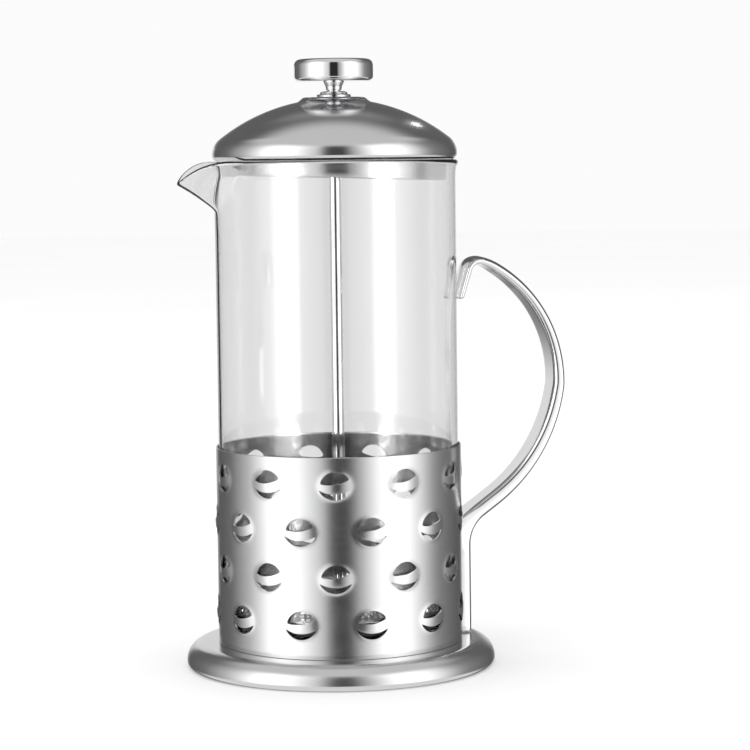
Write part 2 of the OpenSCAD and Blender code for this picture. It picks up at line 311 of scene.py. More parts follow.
class Nodes:
    """A short way to write a node tree: each call adds one node and returns its output."""

    def __init__(self, tree):
        self.tree = tree
        tree.nodes.clear()

    def add(self, kind, output=0, inputs=None, **settings):
        node = self.tree.nodes.new("ShaderNode" + kind)
        for key, value in settings.items():
            setattr(node, key, value)
        for key, value in (inputs or {}).items():
            if isinstance(value, bpy.types.NodeSocket):
                self.tree.links.new(value, node.inputs[key])
            else:
                node.inputs[key].default_value = value
        return node.outputs[output] if output is not None else node

    def math(self, operation, a, b=0.0, clamp=False):
        return self.add("Math", inputs={0: a, 1: b}, operation=operation, use_clamp=clamp)

    def times(self, a, b):
        return self.math("MULTIPLY", a, b)

    def swing(self, noise, amount):
        """Noise centred on zero and scaled to an amount."""
        return self.times(self.math("SUBTRACT", noise, 0.5), amount)

    def spread(self, value, low, high, new_low, new_high):
        """Value mapped smoothly from one range to another."""
        inputs = {"Value": value, "From Min": low, "From Max": high, "To Min": new_low, "To Max": new_high}
        return self.add("MapRange", inputs=inputs, interpolation_type="SMOOTHSTEP")

    def mix(self, factor, a, b):
        return self.add("Mix", inputs={"Factor": factor, "A": a, "B": b})

    def dot(self, vector, constant):
        return self.add("VectorMath", "Value", {0: vector, 1: constant}, operation="DOT_PRODUCT")

    def ramp(self, value, stops):
        node = self.add("ValToRGB", None, {"Fac": value})
        elements = node.color_ramp.elements
        while len(elements) > 1:
            elements.remove(elements[-1])
        elements[0].position, elements[0].color = stops[0][0], (*stops[0][1], 1)
        for position, colour in stops[1:]:
            elements.new(position).color = (*colour, 1)
        return node.outputs["Color"]

    def lathe_noise(self, around, across, detail=3.0):
        """Noise that runs in fine lines round the Z axis, like the marks of turning or brushing."""
        position = self.add("TexCoord", "Object")
        parts = self.add("SeparateXYZ", None, {0: position})
        x, y, z = parts.outputs
        flat = self.add("CombineXYZ", inputs={0: x, 1: y, 2: 0.0})
        radius = self.add("VectorMath", "Value", {0: flat}, operation="LENGTH")
        unit = self.add("VectorMath", "Vector", {0: flat}, operation="NORMALIZE")
        turned = self.add("SeparateXYZ", None, {0: unit})
        place = self.add("CombineXYZ", inputs={
            0: self.times(turned.outputs[0], around),
            1: self.times(turned.outputs[1], around),
            2: self.times(radius, across)})
        return self.add("TexNoise", "Fac", {
            "Vector": place, "W": self.times(z, across), "Scale": 1.0, "Detail": detail,
            "Roughness": 0.6}, noise_dimensions="4D")

    def noise(self, scale, detail=3.0):
        position = self.add("TexCoord", "Object")
        return self.add("TexNoise", "Fac", {"Vector": position, "Scale": scale, "Detail": detail})


# Depth of the relief in each kind of surface, in metres
STEEL_RELIEF = 0.00002
MOULDED_RELIEF = 0.00003
GLASS_RELIEF = 0.0004
# How much darker than its full colour a material gets in the dark parts of its noise
STEEL_SHADE = 0.93
MOULDED_SHADE = 0.85


def new_material(name, slot):
    """An empty node material, with the record's slot kept on it for its pieces."""
    material = bpy.data.materials.new(name)
    material.use_nodes = True
    material["slot"] = slot
    return material, Nodes(material.node_tree)


def steel(name, slot, colour, roughness, lines=0.0, wear=0.04, anisotropy=0.0):
    """Stainless steel. Lines is how much turned or brushed lines change the roughness and the relief."""
    material, nodes = new_material(name, slot)
    cloud = nodes.noise(38.0, 4.0)
    smudge = nodes.noise(140.0, 5.0)
    streak = nodes.lathe_noise(around=6.0, across=9000.0)
    shade = nodes.math("ADD", nodes.times(cloud, 0.5), nodes.times(streak, 0.5))
    dark = tuple(c * STEEL_SHADE for c in colour)
    base = nodes.ramp(shade, [(0.3, dark), (0.7, colour)])
    change = nodes.math("ADD", nodes.swing(streak, lines), nodes.swing(smudge, wear))
    rough = nodes.math("ADD", roughness, change, clamp=True)
    relief = nodes.math("ADD", streak, nodes.times(smudge, 0.2))
    bump = nodes.add("Bump", inputs={
        "Strength": 0.12 + lines, "Distance": STEEL_RELIEF, "Height": relief})
    inputs = {"Base Color": base, "Metallic": 1.0, "Roughness": rough, "Normal": bump,
              "Anisotropic": anisotropy}
    if anisotropy:
        inputs["Tangent"] = nodes.add("Tangent", direction_type="RADIAL", axis="Z")
    shader = nodes.add("BsdfPrincipled", inputs=inputs)
    nodes.add("OutputMaterial", None, {"Surface": shader})
    return material


def clear_glass():
    """Clear glass with the faint waves of blown glass."""
    material, nodes = new_material("clear_glass", "glass")
    wave = nodes.noise(22.0, 1.0)
    bump = nodes.add("Bump", inputs={"Strength": 0.05, "Distance": GLASS_RELIEF, "Height": wave})
    tint = nodes.ramp(wave, [(0.35, (0.98, 0.982, 0.982)), (0.65, (0.99, 0.99, 0.99))])
    shader = nodes.add("BsdfPrincipled", inputs={
        "Base Color": tint, "Roughness": 0.0, "IOR": 1.46,
        "Transmission Weight": 1.0, "Normal": bump})
    nodes.add("OutputMaterial", None, {"Surface": shader})
    return material


def moulded(name, slot, colour, roughness, grain):
    """Moulded plastic or rubber with a fine grain."""
    material, nodes = new_material(name, slot)
    fine = nodes.noise(grain, 3.0)
    cloud = nodes.noise(60.0, 3.0)
    dark = tuple(c * MOULDED_SHADE for c in colour)
    base = nodes.ramp(cloud, [(0.3, dark), (0.7, colour)])
    bump = nodes.add("Bump", inputs={"Strength": 0.25, "Distance": MOULDED_RELIEF, "Height": fine})
    rough = nodes.math("ADD", roughness, nodes.swing(fine, 0.2), clamp=True)
    shader = nodes.add("BsdfPrincipled", inputs={
        "Base Color": base, "Roughness": rough, "Normal": bump})
    nodes.add("OutputMaterial", None, {"Surface": shader})
    return material


SATIN_COLOUR = (0.74, 0.74, 0.745)
SATIN = steel("satin_sleeve_steel", "satin_steel", SATIN_COLOUR, 0.2, lines=0.16, anisotropy=0.55)
SPUN = steel("spun_steel", "satin_steel", (0.7, 0.7, 0.705), 0.22, lines=0.12)
DOME_STEEL = steel("satin_dome_steel", "polished_steel", SATIN_COLOUR, 0.17, lines=0.1, anisotropy=0.5)
BASE_STEEL = steel("satin_base_steel", "polished_steel", SATIN_COLOUR, 0.2, lines=0.12, anisotropy=0.6)
LINER_STEEL = steel("satin_liner_steel", "satin_steel", (0.72, 0.72, 0.725), 0.15, lines=0.1, anisotropy=0.5)
POLISHED = steel("polished_steel", "polished_steel", (0.76, 0.76, 0.765), 0.09, lines=0.05)
HANDLE_STEEL = steel("polished_band_steel", "polished_steel", (0.78, 0.78, 0.785), 0.07, lines=0.03)
CHROME = steel("bright_chrome", "chrome", (0.82, 0.82, 0.83), 0.035, wear=0.03)
SPRING = steel("spring_wire", "spring_steel", (0.6, 0.6, 0.6), 0.22, wear=0.1)
MESH_WIRE = steel("woven_wire", "screen_mesh", (0.55, 0.55, 0.55), 0.3, wear=0.1)
BRASS = steel("turned_brass", "brass", (0.72, 0.53, 0.26), 0.25, lines=0.1)
GLASS = clear_glass()
NYLON = moulded("natural_nylon", "nylon", (0.86, 0.85, 0.8), 0.45, 900.0)
SILICONE = moulded("matt_silicone", "silicone", (0.16, 0.16, 0.17), 0.6, 1500.0)


# ---- base ----


BASE_SHEET_T = 0.8


def disc_sheet(path, thickness):
    """Outline of a round sheet that is closed at its middle."""
    return [(max(0.0, r), z) for r, z in sheet(path, thickness)]


def build_flange():
    """The pressed flange: flat top, big round shoulder, curl and flat hem, as one sheet."""
    t = BASE_SHEET_T
    r, top = FLANGE_HIGH.x - t / 2, FLANGE_HIGH.z - t / 2
    shoulder, curl, hem = 7.4 - t / 2, 2.6 - t / 2, 2.2
    path = [(0, top), (20, top), (40, top), (48, top)]
    path += arc((r - shoulder, top - shoulder), shoulder, 90, 0, 3)
    path += arc((r - curl, t / 2 + curl), curl, 0, -90, 6)
    path += [(r - curl - hem, t / 2)]
    points = [path[0]] + [b for a, b in zip(path, path[1:]) if math.dist(a, b) > 1e-4]
    make_piece("flange", *lathe(disc_sheet(points, t), 256), "holder", BASE_STEEL, ["base_flange"])


def build_bottom_plate():
    """The disc that closes the flange from below, with a shallow dish."""
    t = BASE_SHEET_T
    z = PLATE_LOW.z + t / 2
    dish_z = z + 2
    path = rounded([(0, dish_z), (40, dish_z, 2.5), (42.5, z, 2.5), (PLATE_HIGH.x - t / 2, z)], step=8)
    path = path[:1] + [(20, dish_z)] + path[1:]
    make_piece("base_disc", *lathe(disc_sheet(path, t), 192), "holder", SPUN, ["bottom_plate"])


def build_cushion():
    """The pad under the glass, with a drain hole and a groove."""
    low, high, r = CUSHION_LOW.z, CUSHION_HIGH.z, CUSHION_HIGH.x
    drain_r, groove = 6, 0.8
    outline = rounded([
        (drain_r, low, 0.3), (r, low, 0.4), (r, high, 0.6), (33.5, high, 0.4), (33, high - groove, 0.3),
        (30, high - groove, 0.3), (29.5, high, 0.4), (drain_r, high, 0.5)], closed=True, step=18)
    make_piece("cushion_pad", *lathe(outline, 128), "holder", SILICONE, ["base_cushion"])


# ---- sleeve ----

BEANS_PER_ROW = 11
BEAN_ROWS = 4
BEAN_PITCH_Z = 18.1
BEAN_FIRST_Z = 23.3
# Direction of the first bean, in degrees
BEAN_TURN = -90.6
# How far the sheet is pressed outwards at a bean's middle, and the half width and height of the pressing
BEAN_PRESS, PRESS_HALF_W, PRESS_HALF_H = 0.75, 7.4, 6.8
# The grid of one cell, and how near its points may come to the cuts and to one another
CELL_COLUMNS, CELL_ROWS = 26, 16
CUT_GAP, NEAR_GAP, GRID_GAP = 0.3, 0.33, 0.55


def circle_arc_between(centre, radius, start_point, end_point, clockwise, count):
    """Points on a circle from one point on it to another."""
    a = math.atan2(start_point[1] - centre[1], start_point[0] - centre[0])
    b = math.atan2(end_point[1] - centre[1], end_point[0] - centre[0])
    if clockwise and b > a:
        b -= TAU
    if not clockwise and b < a:
        b += TAU
    return [(centre[0] + radius * math.cos(a + (b - a) * i / count),
             centre[1] + radius * math.sin(a + (b - a) * i / count)) for i in range(count)]


def circles_meet(c0, r0, c1, r1):
    """The two points where two circles cross, left one first."""
    p0, p1 = np.array(c0), np.array(c1)
    d = np.linalg.norm(p1 - p0)
    along = (r0 * r0 - r1 * r1 + d * d) / (2 * d)
    off = math.sqrt(r0 * r0 - along * along)
    unit = (p1 - p0) / d
    middle = p0 + unit * along
    side = np.array([-unit[1], unit[0]]) * off
    return sorted([tuple(middle + side), tuple(middle - side)])


def soften(loop, times=2):
    """Rounds the tips of a loop a little."""
    points = np.array(loop)
    for _ in range(times):
        points = 0.5 * points + 0.25 * (np.roll(points, 1, 0) + np.roll(points, -1, 0))
    return points


def bean_loops():
    """The leaf and the smile of one bean window, anticlockwise, in the plane of the sheet."""
    top, under = ((0.3, -0.6), 6.2), ((-2.2, 17.2), 16.9)
    left, right = circles_meet(*top, *under)
    leaf = circle_arc_between(*top, right, left, False, 26)
    leaf += circle_arc_between(*under, left, right, False, 20)
    low, inner = ((0.0, 1.5), 7.1), ((0.0, 9.3), 12.5)
    left, right = circles_meet(*low, *inner)
    smile = circle_arc_between(*low, left, right, False, 28)
    smile += circle_arc_between(*inner, right, left, True, 22)
    return soften(leaf), soften(smile)


def bean_press(points):
    """How far the sheet is pressed outwards round a bean."""
    rho = (points[:, 0] / PRESS_HALF_W) ** 2 + (points[:, 1] / PRESS_HALF_H) ** 2
    return BEAN_PRESS * np.clip(1 - rho, 0, 1) ** 1.3


def nearest(points, others):
    """Distance from each point to the nearest of some others."""
    return np.min(np.linalg.norm(points[:, None] - others[None], axis=2), axis=1)


def bean_cell():
    """Flat triangles of one cell of the sleeve, with its bean cut out, and the loops of the cuts."""
    width, height = TAU * SLEEVE_R / BEANS_PER_ROW, BEAN_PITCH_Z
    xs = np.linspace(-width / 2, width / 2, CELL_COLUMNS + 1)
    zs = np.linspace(-height / 2, height / 2, CELL_ROWS + 1)
    border = [(x, zs[0]) for x in xs[:-1]] + [(xs[-1], z) for z in zs[:-1]]
    border += [(x, zs[-1]) for x in xs[:0:-1]] + [(xs[0], z) for z in zs[:0:-1]]
    loops = list(bean_loops())
    grid = np.array([(x, z) for x in xs[1:-1] for z in zs[1:-1]])
    spacings = ((0.35, 1), (0.8, 1), (1.4, 2))
    near = np.vstack([inset_loop(loop, -away)[::every] for loop in loops for away, every in spacings])
    outlines = np.vstack(loops)
    blocked = inside_loop(near, loops[0]) | inside_loop(near, loops[1])
    near = near[~blocked & (nearest(near, outlines) > CUT_GAP)]
    kept = []
    for point in near:
        if all(math.dist(point, other) > NEAR_GAP for other in kept):
            kept.append(point)
    near = np.array(kept)
    blocked = inside_loop(grid, loops[0]) | inside_loop(grid, loops[1])
    grid = grid[~blocked & (nearest(grid, np.vstack([outlines, near])) > GRID_GAP)]
    verts, faces = triangulate([border] + loops, np.vstack([near, grid]))
    centres = np.array([verts[f].mean(0) for f in faces])
    keep = ~(inside_loop(centres, loops[0]) | inside_loop(centres, loops[1]))
    return verts, [f for f, k in zip(faces, keep) if k], loops


def wrap(points, turn, z, depth):
    """Flat points of a cell, bent round the sleeve at a turn and a height, some way into the sheet."""
    radius = SLEEVE_R + bean_press(points) - depth
    a = points[:, 0] / SLEEVE_R + turn
    return np.stack([radius * np.cos(a), radius * np.sin(a), points[:, 1] + z], 1)


def build_sleeve():
    """The perforated sleeve: cells of bean windows, plain strips above and below, both skins and edges."""
    verts, faces, loops = bean_cell()
    parts = []
    step = TAU / BEANS_PER_ROW
    for row in range(BEAN_ROWS):
        for i in range(BEANS_PER_ROW):
            turn = math.radians(BEAN_TURN) + step * (i + (row % 2) / 2)
            z = BEAN_FIRST_Z + BEAN_PITCH_Z * row
            for depth in (0.0, SLEEVE_T):
                parts.append((wrap(verts, turn, z, depth), faces))
            for loop in loops:
                edge = np.vstack([wrap(loop, turn, z, depth) for depth in (0.0, SLEEVE_T)])
                parts.append((edge, ring_faces(2, len(loop))))
    low = BEAN_FIRST_Z - BEAN_PITCH_Z / 2
    high = BEAN_FIRST_Z + BEAN_PITCH_Z * (BEAN_ROWS - 0.5)
    segments = BEANS_PER_ROW * CELL_COLUMNS
    mid, half = SLEEVE_R - SLEEVE_T / 2, SLEEVE_T / 2
    for edge, start, sign in ((SLEEVE_HIGH.z, high, 1), (SLEEVE_LOW.z, low, -1)):
        cap = edge - sign * half
        outline = [(mid + half, start), (mid + half, (start + cap) / 2)]
        outline += arc((mid, cap), half, 0, sign * 180, 22)
        outline += [(mid - half, (start + cap) / 2), (mid - half, start)]
        strip, quads = lathe(outline, segments, closed=False)
        turn = math.radians(BEAN_TURN) + step / 2
        c, s = math.cos(turn), math.sin(turn)
        parts.append(([(x * c - y * s, x * s + y * c, z) for x, y, z in strip], quads))
    make_piece("perforated_sleeve", *joined(*parts), "holder", SATIN, ["sleeve"], sharp=40)


# ---- handle ----

BAND_W = 14.0
# The loop's outer line is a chain of arcs, from the top of the strip to the hook. Each has a radius
# and the direction, in degrees, that the band's outer side faces where the arc ends.
MAIN_R, MAIN_Z, MAIN_TOP_A = 56.5, 110.8, 60.0
KINK_R, KINK_A = 20.0, -8.5
LOW_R, LOW_A = 70.0, -55.0
MID_R, MID_TOP_A = 25.0, 80.0
HOOK_R, HOOK_A, HOOK_LEG = 6.4, 164.0, 11.2
BEND_R = 13.0
# Thickness of the loop by the direction that its outer side faces, and at the hook's tip
LOOP_T = ((-55, 6.9), (0, 5.8), (60, 4.3), (80, 3.1), (164, 3.0))
TIP_T = 2.6
# The strip's thickness, part of which lies inside the sleeve's radius, and where its outer side is
STRIP_T = 6.4
STRIP_OUT = SLEEVE_R + 5.7
# Rounding of the band's inner edges on the loop and on the strip, and at most by thickness
LOOP_EDGE, STRIP_EDGE, EDGE_SHARE = 1.6, 0.3, 0.33
# Height of the rounding at the strip's foot
FOOT_STEP = 0.4


def turned(centre, radius, angle):
    """The point at an angle on a circle."""
    a = math.radians(angle)
    return (centre[0] + radius * math.cos(a), centre[1] + radius * math.sin(a))


def loop_thickness(value):
    """The loop's thickness where its outer side faces a direction."""
    pairs = LOOP_T
    return float(np.interp(value, [p[0] for p in pairs], [p[1] for p in pairs]))


def handle_stations():
    """Stations from the foot to the hook: (x, z of the outer line, direction, thickness, rounding)."""
    main = (HANDLE_HIGH.x - MAIN_R, MAIN_Z)
    kink = turned(main, MAIN_R - KINK_R, 0)
    low = turned(kink, KINK_R - LOW_R, KINK_A)
    mid = turned(main, MAIN_R - MID_R, MAIN_TOP_A)
    hook = turned(mid, MID_R - HOOK_R, MID_TOP_A)
    end = turned(low, LOW_R, LOW_A)
    lean = math.radians(-LOW_A)
    bend_x = STRIP_OUT + BEND_R
    bend_z = end[1] + ((bend_x - end[0]) * math.cos(lean) - BEND_R) / math.sin(lean)
    heights = np.linspace(HANDLE_LOW.z + FOOT_STEP, bend_z, 14)[:-1]
    stations = [(STRIP_OUT, z, 0.0, STRIP_T, STRIP_EDGE) for z in heights]
    for face in np.linspace(0, LOW_A, 12):
        x, z = turned((bend_x, bend_z), BEND_R, 180 + face)
        above = (x - end[0]) * math.cos(lean) - (z - end[1]) * math.sin(lean)
        t = (loop_thickness(LOW_A) + above) / math.cos(math.radians(face - LOW_A))
        stations.append((x, z, face, t, STRIP_EDGE + (LOOP_EDGE - STRIP_EDGE) * (face / LOW_A) ** 2))
    start = stations[-1]
    for k in (1, 2, 3):
        x, z = (start[i] + (end[i] - start[i]) * k / 4 for i in (0, 1))
        stations.append((x, z, LOW_A, loop_thickness(LOW_A), LOOP_EDGE))
    runs = [
        (low, LOW_R, LOW_A, KINK_A, 24),
        (kink, KINK_R, KINK_A, 0, 5),
        (main, MAIN_R, 0, MAIN_TOP_A, 30),
        (mid, MID_R, MAIN_TOP_A, MID_TOP_A, 7),
        (hook, HOOK_R, MID_TOP_A, HOOK_A, 14),
    ]
    for centre, radius, first, last, count in runs:
        for face in np.linspace(first, last, count, endpoint=centre is hook):
            t = loop_thickness(face)
            stations.append((*turned(centre, radius, face), face, t, min(LOOP_EDGE, EDGE_SHARE * t)))
    x, z, face, t, _ = stations[-1]
    steps = 8
    for k in range(1, steps + 1):
        thin = t + (TIP_T - t) * k / steps
        stations.append((*turned((x, z), HOOK_LEG * k / steps, face + 90), face, thin, EDGE_SHARE * thin))
    return stations


def band_section(t, rounding, width):
    """Section of the band, crowned outside and flat inside: (across, depth below the outer line)."""
    half = width / 2
    crown = min(2.2, 0.4 * t)
    shoulder = 0.35
    middle = (crown + shoulder + t - rounding) / 2
    side = [(half - 0.1, crown + 0.12), (half, crown + shoulder), (half, middle)]
    inner_edge = np.linspace(0, math.pi / 2, 8)
    points = [((half - 0.3) * u, crown * u * u) for u in np.linspace(-1, 1, 19)]
    points += side
    points += [(half - rounding + rounding * math.cos(a), t - rounding + rounding * math.sin(a))
               for a in inner_edge]
    points += [(across * (half - rounding), t) for across in (0.6, 0.2, -0.2, -0.6)]
    points += [(-half + rounding - rounding * math.sin(a), t - rounding + rounding * math.cos(a))
               for a in inner_edge]
    points += [(-across, depth) for across, depth in side[::-1]]
    return np.array(points)


def foot_rings(station):
    """Two smaller rings below the first station, which round off the foot's edge."""
    x, z, face, t, rounding = station
    return [(x - 0.3, z - FOOT_STEP, face, t - 0.6, rounding, BAND_W - 0.7),
            (x - 0.08, z - 0.27, face, t - 0.16, rounding, BAND_W - 0.16)]


def tip_rings(station):
    """Rings past the last station that close the hook's tip in a half round."""
    x, z, face, t, rounding = station
    rings = []
    for k in range(1, 9):
        a = math.radians(90 * k / 8.4)
        thin = t * math.cos(a)
        px, pz = turned((x, z), t / 2 * math.sin(a), face + 90)
        px, pz = turned((px, pz), -(t - thin) / 2, face)
        width = BAND_W - 3.2 * (1 - math.cos(a))
        rings.append((px, pz, face, thin, min(rounding, EDGE_SHARE * thin), width))
    return rings


def build_handle():
    """The band, swept through its stations, with its inner side cut to the sleeve's roundness."""
    stations = handle_stations()
    rings = foot_rings(stations[0]) + [(*station, BAND_W) for station in stations] + tip_rings(stations[-1])
    verts = []
    for x, z, face, t, rounding, width in rings:
        a = math.radians(face)
        for across, depth in band_section(t, rounding, width):
            point = [x - depth * math.cos(a), -across, z - depth * math.sin(a)]
            if math.hypot(point[0], point[1]) < SLEEVE_R and point[2] < SLEEVE_HIGH.z:
                point[0] = math.sqrt(SLEEVE_R ** 2 - point[1] ** 2)
            verts.append(point)
    count = len(verts) // len(rings)
    faces = ring_faces(len(rings), count)
    faces.append(list(range(count)))
    faces.append([(len(rings) - 1) * count + j for j in range(count)])
    make_piece("handle_band", verts, faces, "holder", HANDLE_STEEL, ["handle"], sharp=50)


# ---- beaker ----

# Half the spout's width in degrees, how far below the rim it starts, and how far it stands out
SPOUT_HALF_A = 27.0
SPOUT_DROP = 19.0
SPOUT_REACH = -BEAKER_LOW.x - GLASS_R
# Radius of the lip's downward curve towards the spout's tip, and how much thinner the glass is there
LIP_R = 20.5
SPOUT_THINNER = 0.45
BEAKER_COLUMNS = 384
ROWS_BELOW, ROWS_ABOVE = 26, 40
BOTTOM_RADII = (0.0, 12.0, 24.0, 34.0)
CORNER_OUT, CORNER_IN, CORNER_STEPS = 9.0, 6.8, 10


def spout_share(angle):
    """How far the lip stands out at an angle from the spout's middle: 1 at the tip, 0 past the beak."""
    soft = 3.2
    a = np.sqrt(angle ** 2 + soft ** 2) - soft
    return np.clip(1 - a / (SPOUT_HALF_A - soft * 0.6), 0, 1) ** 1.45


def beaker_outer(angle):
    """Outer wall of the glass at one angle, from the middle of the bottom to the rim: (radius, height)."""
    bottom = BEAKER_LOW.z
    points = [(r, bottom) for r in BOTTOM_RADII]
    points += arc((GLASS_R - CORNER_OUT, bottom + CORNER_OUT), CORNER_OUT, -90, 0, 90 / CORNER_STEPS)
    start = points[-1][1]
    turn_z = RIM_Z - SPOUT_DROP - 4
    points += [(GLASS_R, start + (turn_z - start) * i / ROWS_BELOW) for i in range(1, ROWS_BELOW)]
    share = float(spout_share(angle))
    lip = GLASS_R + GLASS_FLARE + (SPOUT_REACH - GLASS_FLARE) * share
    lip_x = lip * math.cos(math.radians(angle))
    over = min(max(0.0, lip_x - GLASS_R + 0.5), LIP_R * 0.95)
    rim = RIM_Z - GLASS_T / 2 - (LIP_R - math.sqrt(LIP_R ** 2 - over ** 2))
    keel = RIM_Z - SPOUT_DROP + (SPOUT_DROP - 3) * min(1, abs(angle) / SPOUT_HALF_A) ** 1.6
    soft, flare_depth = 0.14, 5
    for i in range(ROWS_ABOVE + 1):
        z = turn_z + (rim - turn_z) * i / ROWS_ABOVE
        t = (z - keel) / (rim - keel)
        rise = (t + math.sqrt(t * t + soft * soft)) / (1 + math.sqrt(1 + soft * soft))
        below = rim - z
        flare = GLASS_FLARE * max(0, 1 - below / flare_depth) ** 2
        points.append((GLASS_R + flare + (lip - GLASS_R - GLASS_FLARE) * rise, z))
    return points


def rounded_lip(skin, inner):
    """Points that join the outer and the inner wall over the rim in a half round."""
    edge_out = skin[:, -1] - inner[:, -1]
    edge_t = np.linalg.norm(edge_out, axis=1)[:, None]
    edge_out = edge_out / edge_t
    edge_up = skin[:, -1] - skin[:, -2]
    edge_up /= np.linalg.norm(edge_up, axis=1)[:, None]
    middle = (skin[:, -1] + inner[:, -1]) / 2
    steps = 8
    lip = []
    for k in range(1, steps):
        a = math.pi * k / steps
        lip.append(middle + edge_t / 2 * (edge_out * math.cos(a) + edge_up * math.sin(a)))
    return np.stack(lip, 1)


def beaker_floor(turn):
    """The inner corner and floor of the glass, at every angle round it."""
    floor_z = BEAKER_LOW.z + GLASS_FLOOR_T
    wall_r = GLASS_R - GLASS_T
    low = arc((wall_r - CORNER_IN, floor_z + CORNER_IN), CORNER_IN, 0, -90, 90 / CORNER_STEPS)
    low = np.array(low + [(r, floor_z) for r in BOTTOM_RADII[2::-1]])
    x, y = np.outer(np.cos(turn), low[:, 0]), np.outer(np.sin(turn), low[:, 0])
    return np.stack([x, y, np.tile(low[:, 1], (len(turn), 1))], -1)


def build_beaker():
    """The glass: an outer skin with the spout, an inner skin at the glass's thickness, lip and floor."""
    angles = (np.arange(BEAKER_COLUMNS) / BEAKER_COLUMNS - 0.5) * 360
    outer = np.array([beaker_outer(a) for a in angles])
    turn = np.radians(180 + angles)
    x, y = outer[..., 0] * np.cos(turn)[:, None], outer[..., 0] * np.sin(turn)[:, None]
    skin = np.stack([x, y, outer[..., 1]], -1)
    around = np.roll(skin, -1, 0) - np.roll(skin, 1, 0)
    up = np.gradient(skin, axis=1)
    normal = np.cross(around, up)
    normal /= np.maximum(np.linalg.norm(normal, axis=2), 1e-9)[..., None]
    first = len(BOTTOM_RADII) + CORNER_STEPS
    shares = np.array([spout_share(a) for a in angles])
    thick = (GLASS_T - SPOUT_THINNER * shares)[:, None, None]
    inner = (skin - normal * thick)[:, first:]
    grid = np.concatenate([skin, rounded_lip(skin, inner), inner[:, ::-1], beaker_floor(turn)], 1)
    columns, rows = grid.shape[:2]
    index = np.arange(columns * rows).reshape(columns, rows)
    nxt = np.roll(index, -1, 0)
    quads = np.stack([index[:, :-1], nxt[:, :-1], nxt[:, 1:], index[:, 1:]], -1).reshape(-1, 4)
    make_piece("glass_beaker", grid.reshape(-1, 3), quads.tolist(), "glass", GLASS, ["beaker"], sharp=60)


# ---- lid ----

DOME_R = 74.0
EDGE_R = 8.0
ROLL_R = 2.7
PAD_R = 12.2
LID_SHEET_T = 0.8
LINER_SHEET_T = 0.6
# How far the liner's brim stands out past its skirt
LINER_BRIM = 1.6
# How much the lower edge of the inner skirt rises towards the spout, in degrees
SKIRT_SLANT = 2.1


def build_dome():
    """The lid's sheet: raised pad, sphere, round edge and rolled hem."""
    t = LID_SHEET_T
    lid_r = DOME_HIGH.y
    lean = math.asin((lid_r - EDGE_R) / (DOME_R - EDGE_R))
    roll_z = DOME_LOW.z + ROLL_R
    dome_z = roll_z - (DOME_R - EDGE_R) * math.cos(lean)
    mid = DOME_R - t / 2
    pad_z = DOME_HIGH.z - t / 2
    hole_r = 4.3
    foot_r = PAD_R + 2.2
    foot_a = math.degrees(math.asin(foot_r / mid))
    sphere = arc((0, dome_z), mid, 90 - foot_a, 90 - math.degrees(lean), 1.2)
    step = rounded([(hole_r, pad_z), (PAD_R, pad_z, 1.6), (PAD_R + 1.0, pad_z - 1.0, 0.9), sphere[0]], step=8)
    path = step[:-1] + sphere
    path += arc((lid_r - EDGE_R, roll_z), EDGE_R - t / 2, 90 - math.degrees(lean), 0, 4)[1:]
    path += arc((lid_r - ROLL_R, roll_z), ROLL_R - t / 2, 0, -90, 8)[1:]
    path += [(lid_r - ROLL_R - 0.5, DOME_LOW.z + t / 2)]
    make_piece("domed_cover", *lathe(sheet(path, t), 256), "lid", DOME_STEEL, ["lid_dome"])


def build_liner():
    """The pan under the dome. Its skirt is shallower towards the spout."""
    t = LINER_SHEET_T
    low, high = LINER_LOW.z, LINER_HIGH.z - t / 2
    skirt = LINER_HIGH.x - LINER_BRIM - t / 2
    path = rounded([(5.6, high), (skirt - 0.1, high, 0.9), (skirt - 0.45, low)], step=10)
    brim = [(skirt - 0.6, high), (LINER_HIGH.x - 0.1, high)]
    verts, faces = lathe(sheet(path, t), 192)
    slant = math.tan(math.radians(SKIRT_SLANT))
    depth = high - low
    pan = []
    for x, y, z in verts:
        depth_here = depth - (LINER_HIGH.x - LINER_BRIM - x) * slant
        pan.append((x, y, high - (high - z) * depth_here / depth))
    edge = lathe(sheet(brim, t), 192)
    make_piece("liner_pan", *joined((pan, faces), edge), "lid", LINER_STEEL, ["lid_liner"])


def build_guide():
    """Bush with a flange, a neck with a bead, and the shank inside the lid."""
    z, top, low = BUSH_HIGH.z - 2.4, BUSH_HIGH.z, BUSH_LOW.z
    bore, shank_r, flange_r = 2.56, 4.2, 6.8
    outline = rounded([
        (bore, low, 0.2), (shank_r, low, 0.4), (shank_r, z), (flange_r, z, 0.15), (flange_r, z + 1.1, 0.5),
        (5.6, z + 1.25, 0.25), (5.3, z + 2.0, 0.4), (4.4, top, 0.5), (bore, top, 0.3)], closed=True, step=12)
    make_piece("guide_collar", *lathe(outline, 96), "lid", POLISHED, ["guide_bush"])


# ---- rod and knob ----


def threaded_outline(low, high, radius, pitch=0.7, depth=0.3):
    """Outline of a thread's ridges between two heights, as points from low to high."""
    points = []
    count = int((high - low) / pitch)
    for i in range(count):
        z = low + i * pitch
        points += [(radius - depth, z), (radius, z + pitch * 0.4), (radius, z + pitch * 0.55)]
    return points + [(radius - depth, high)]


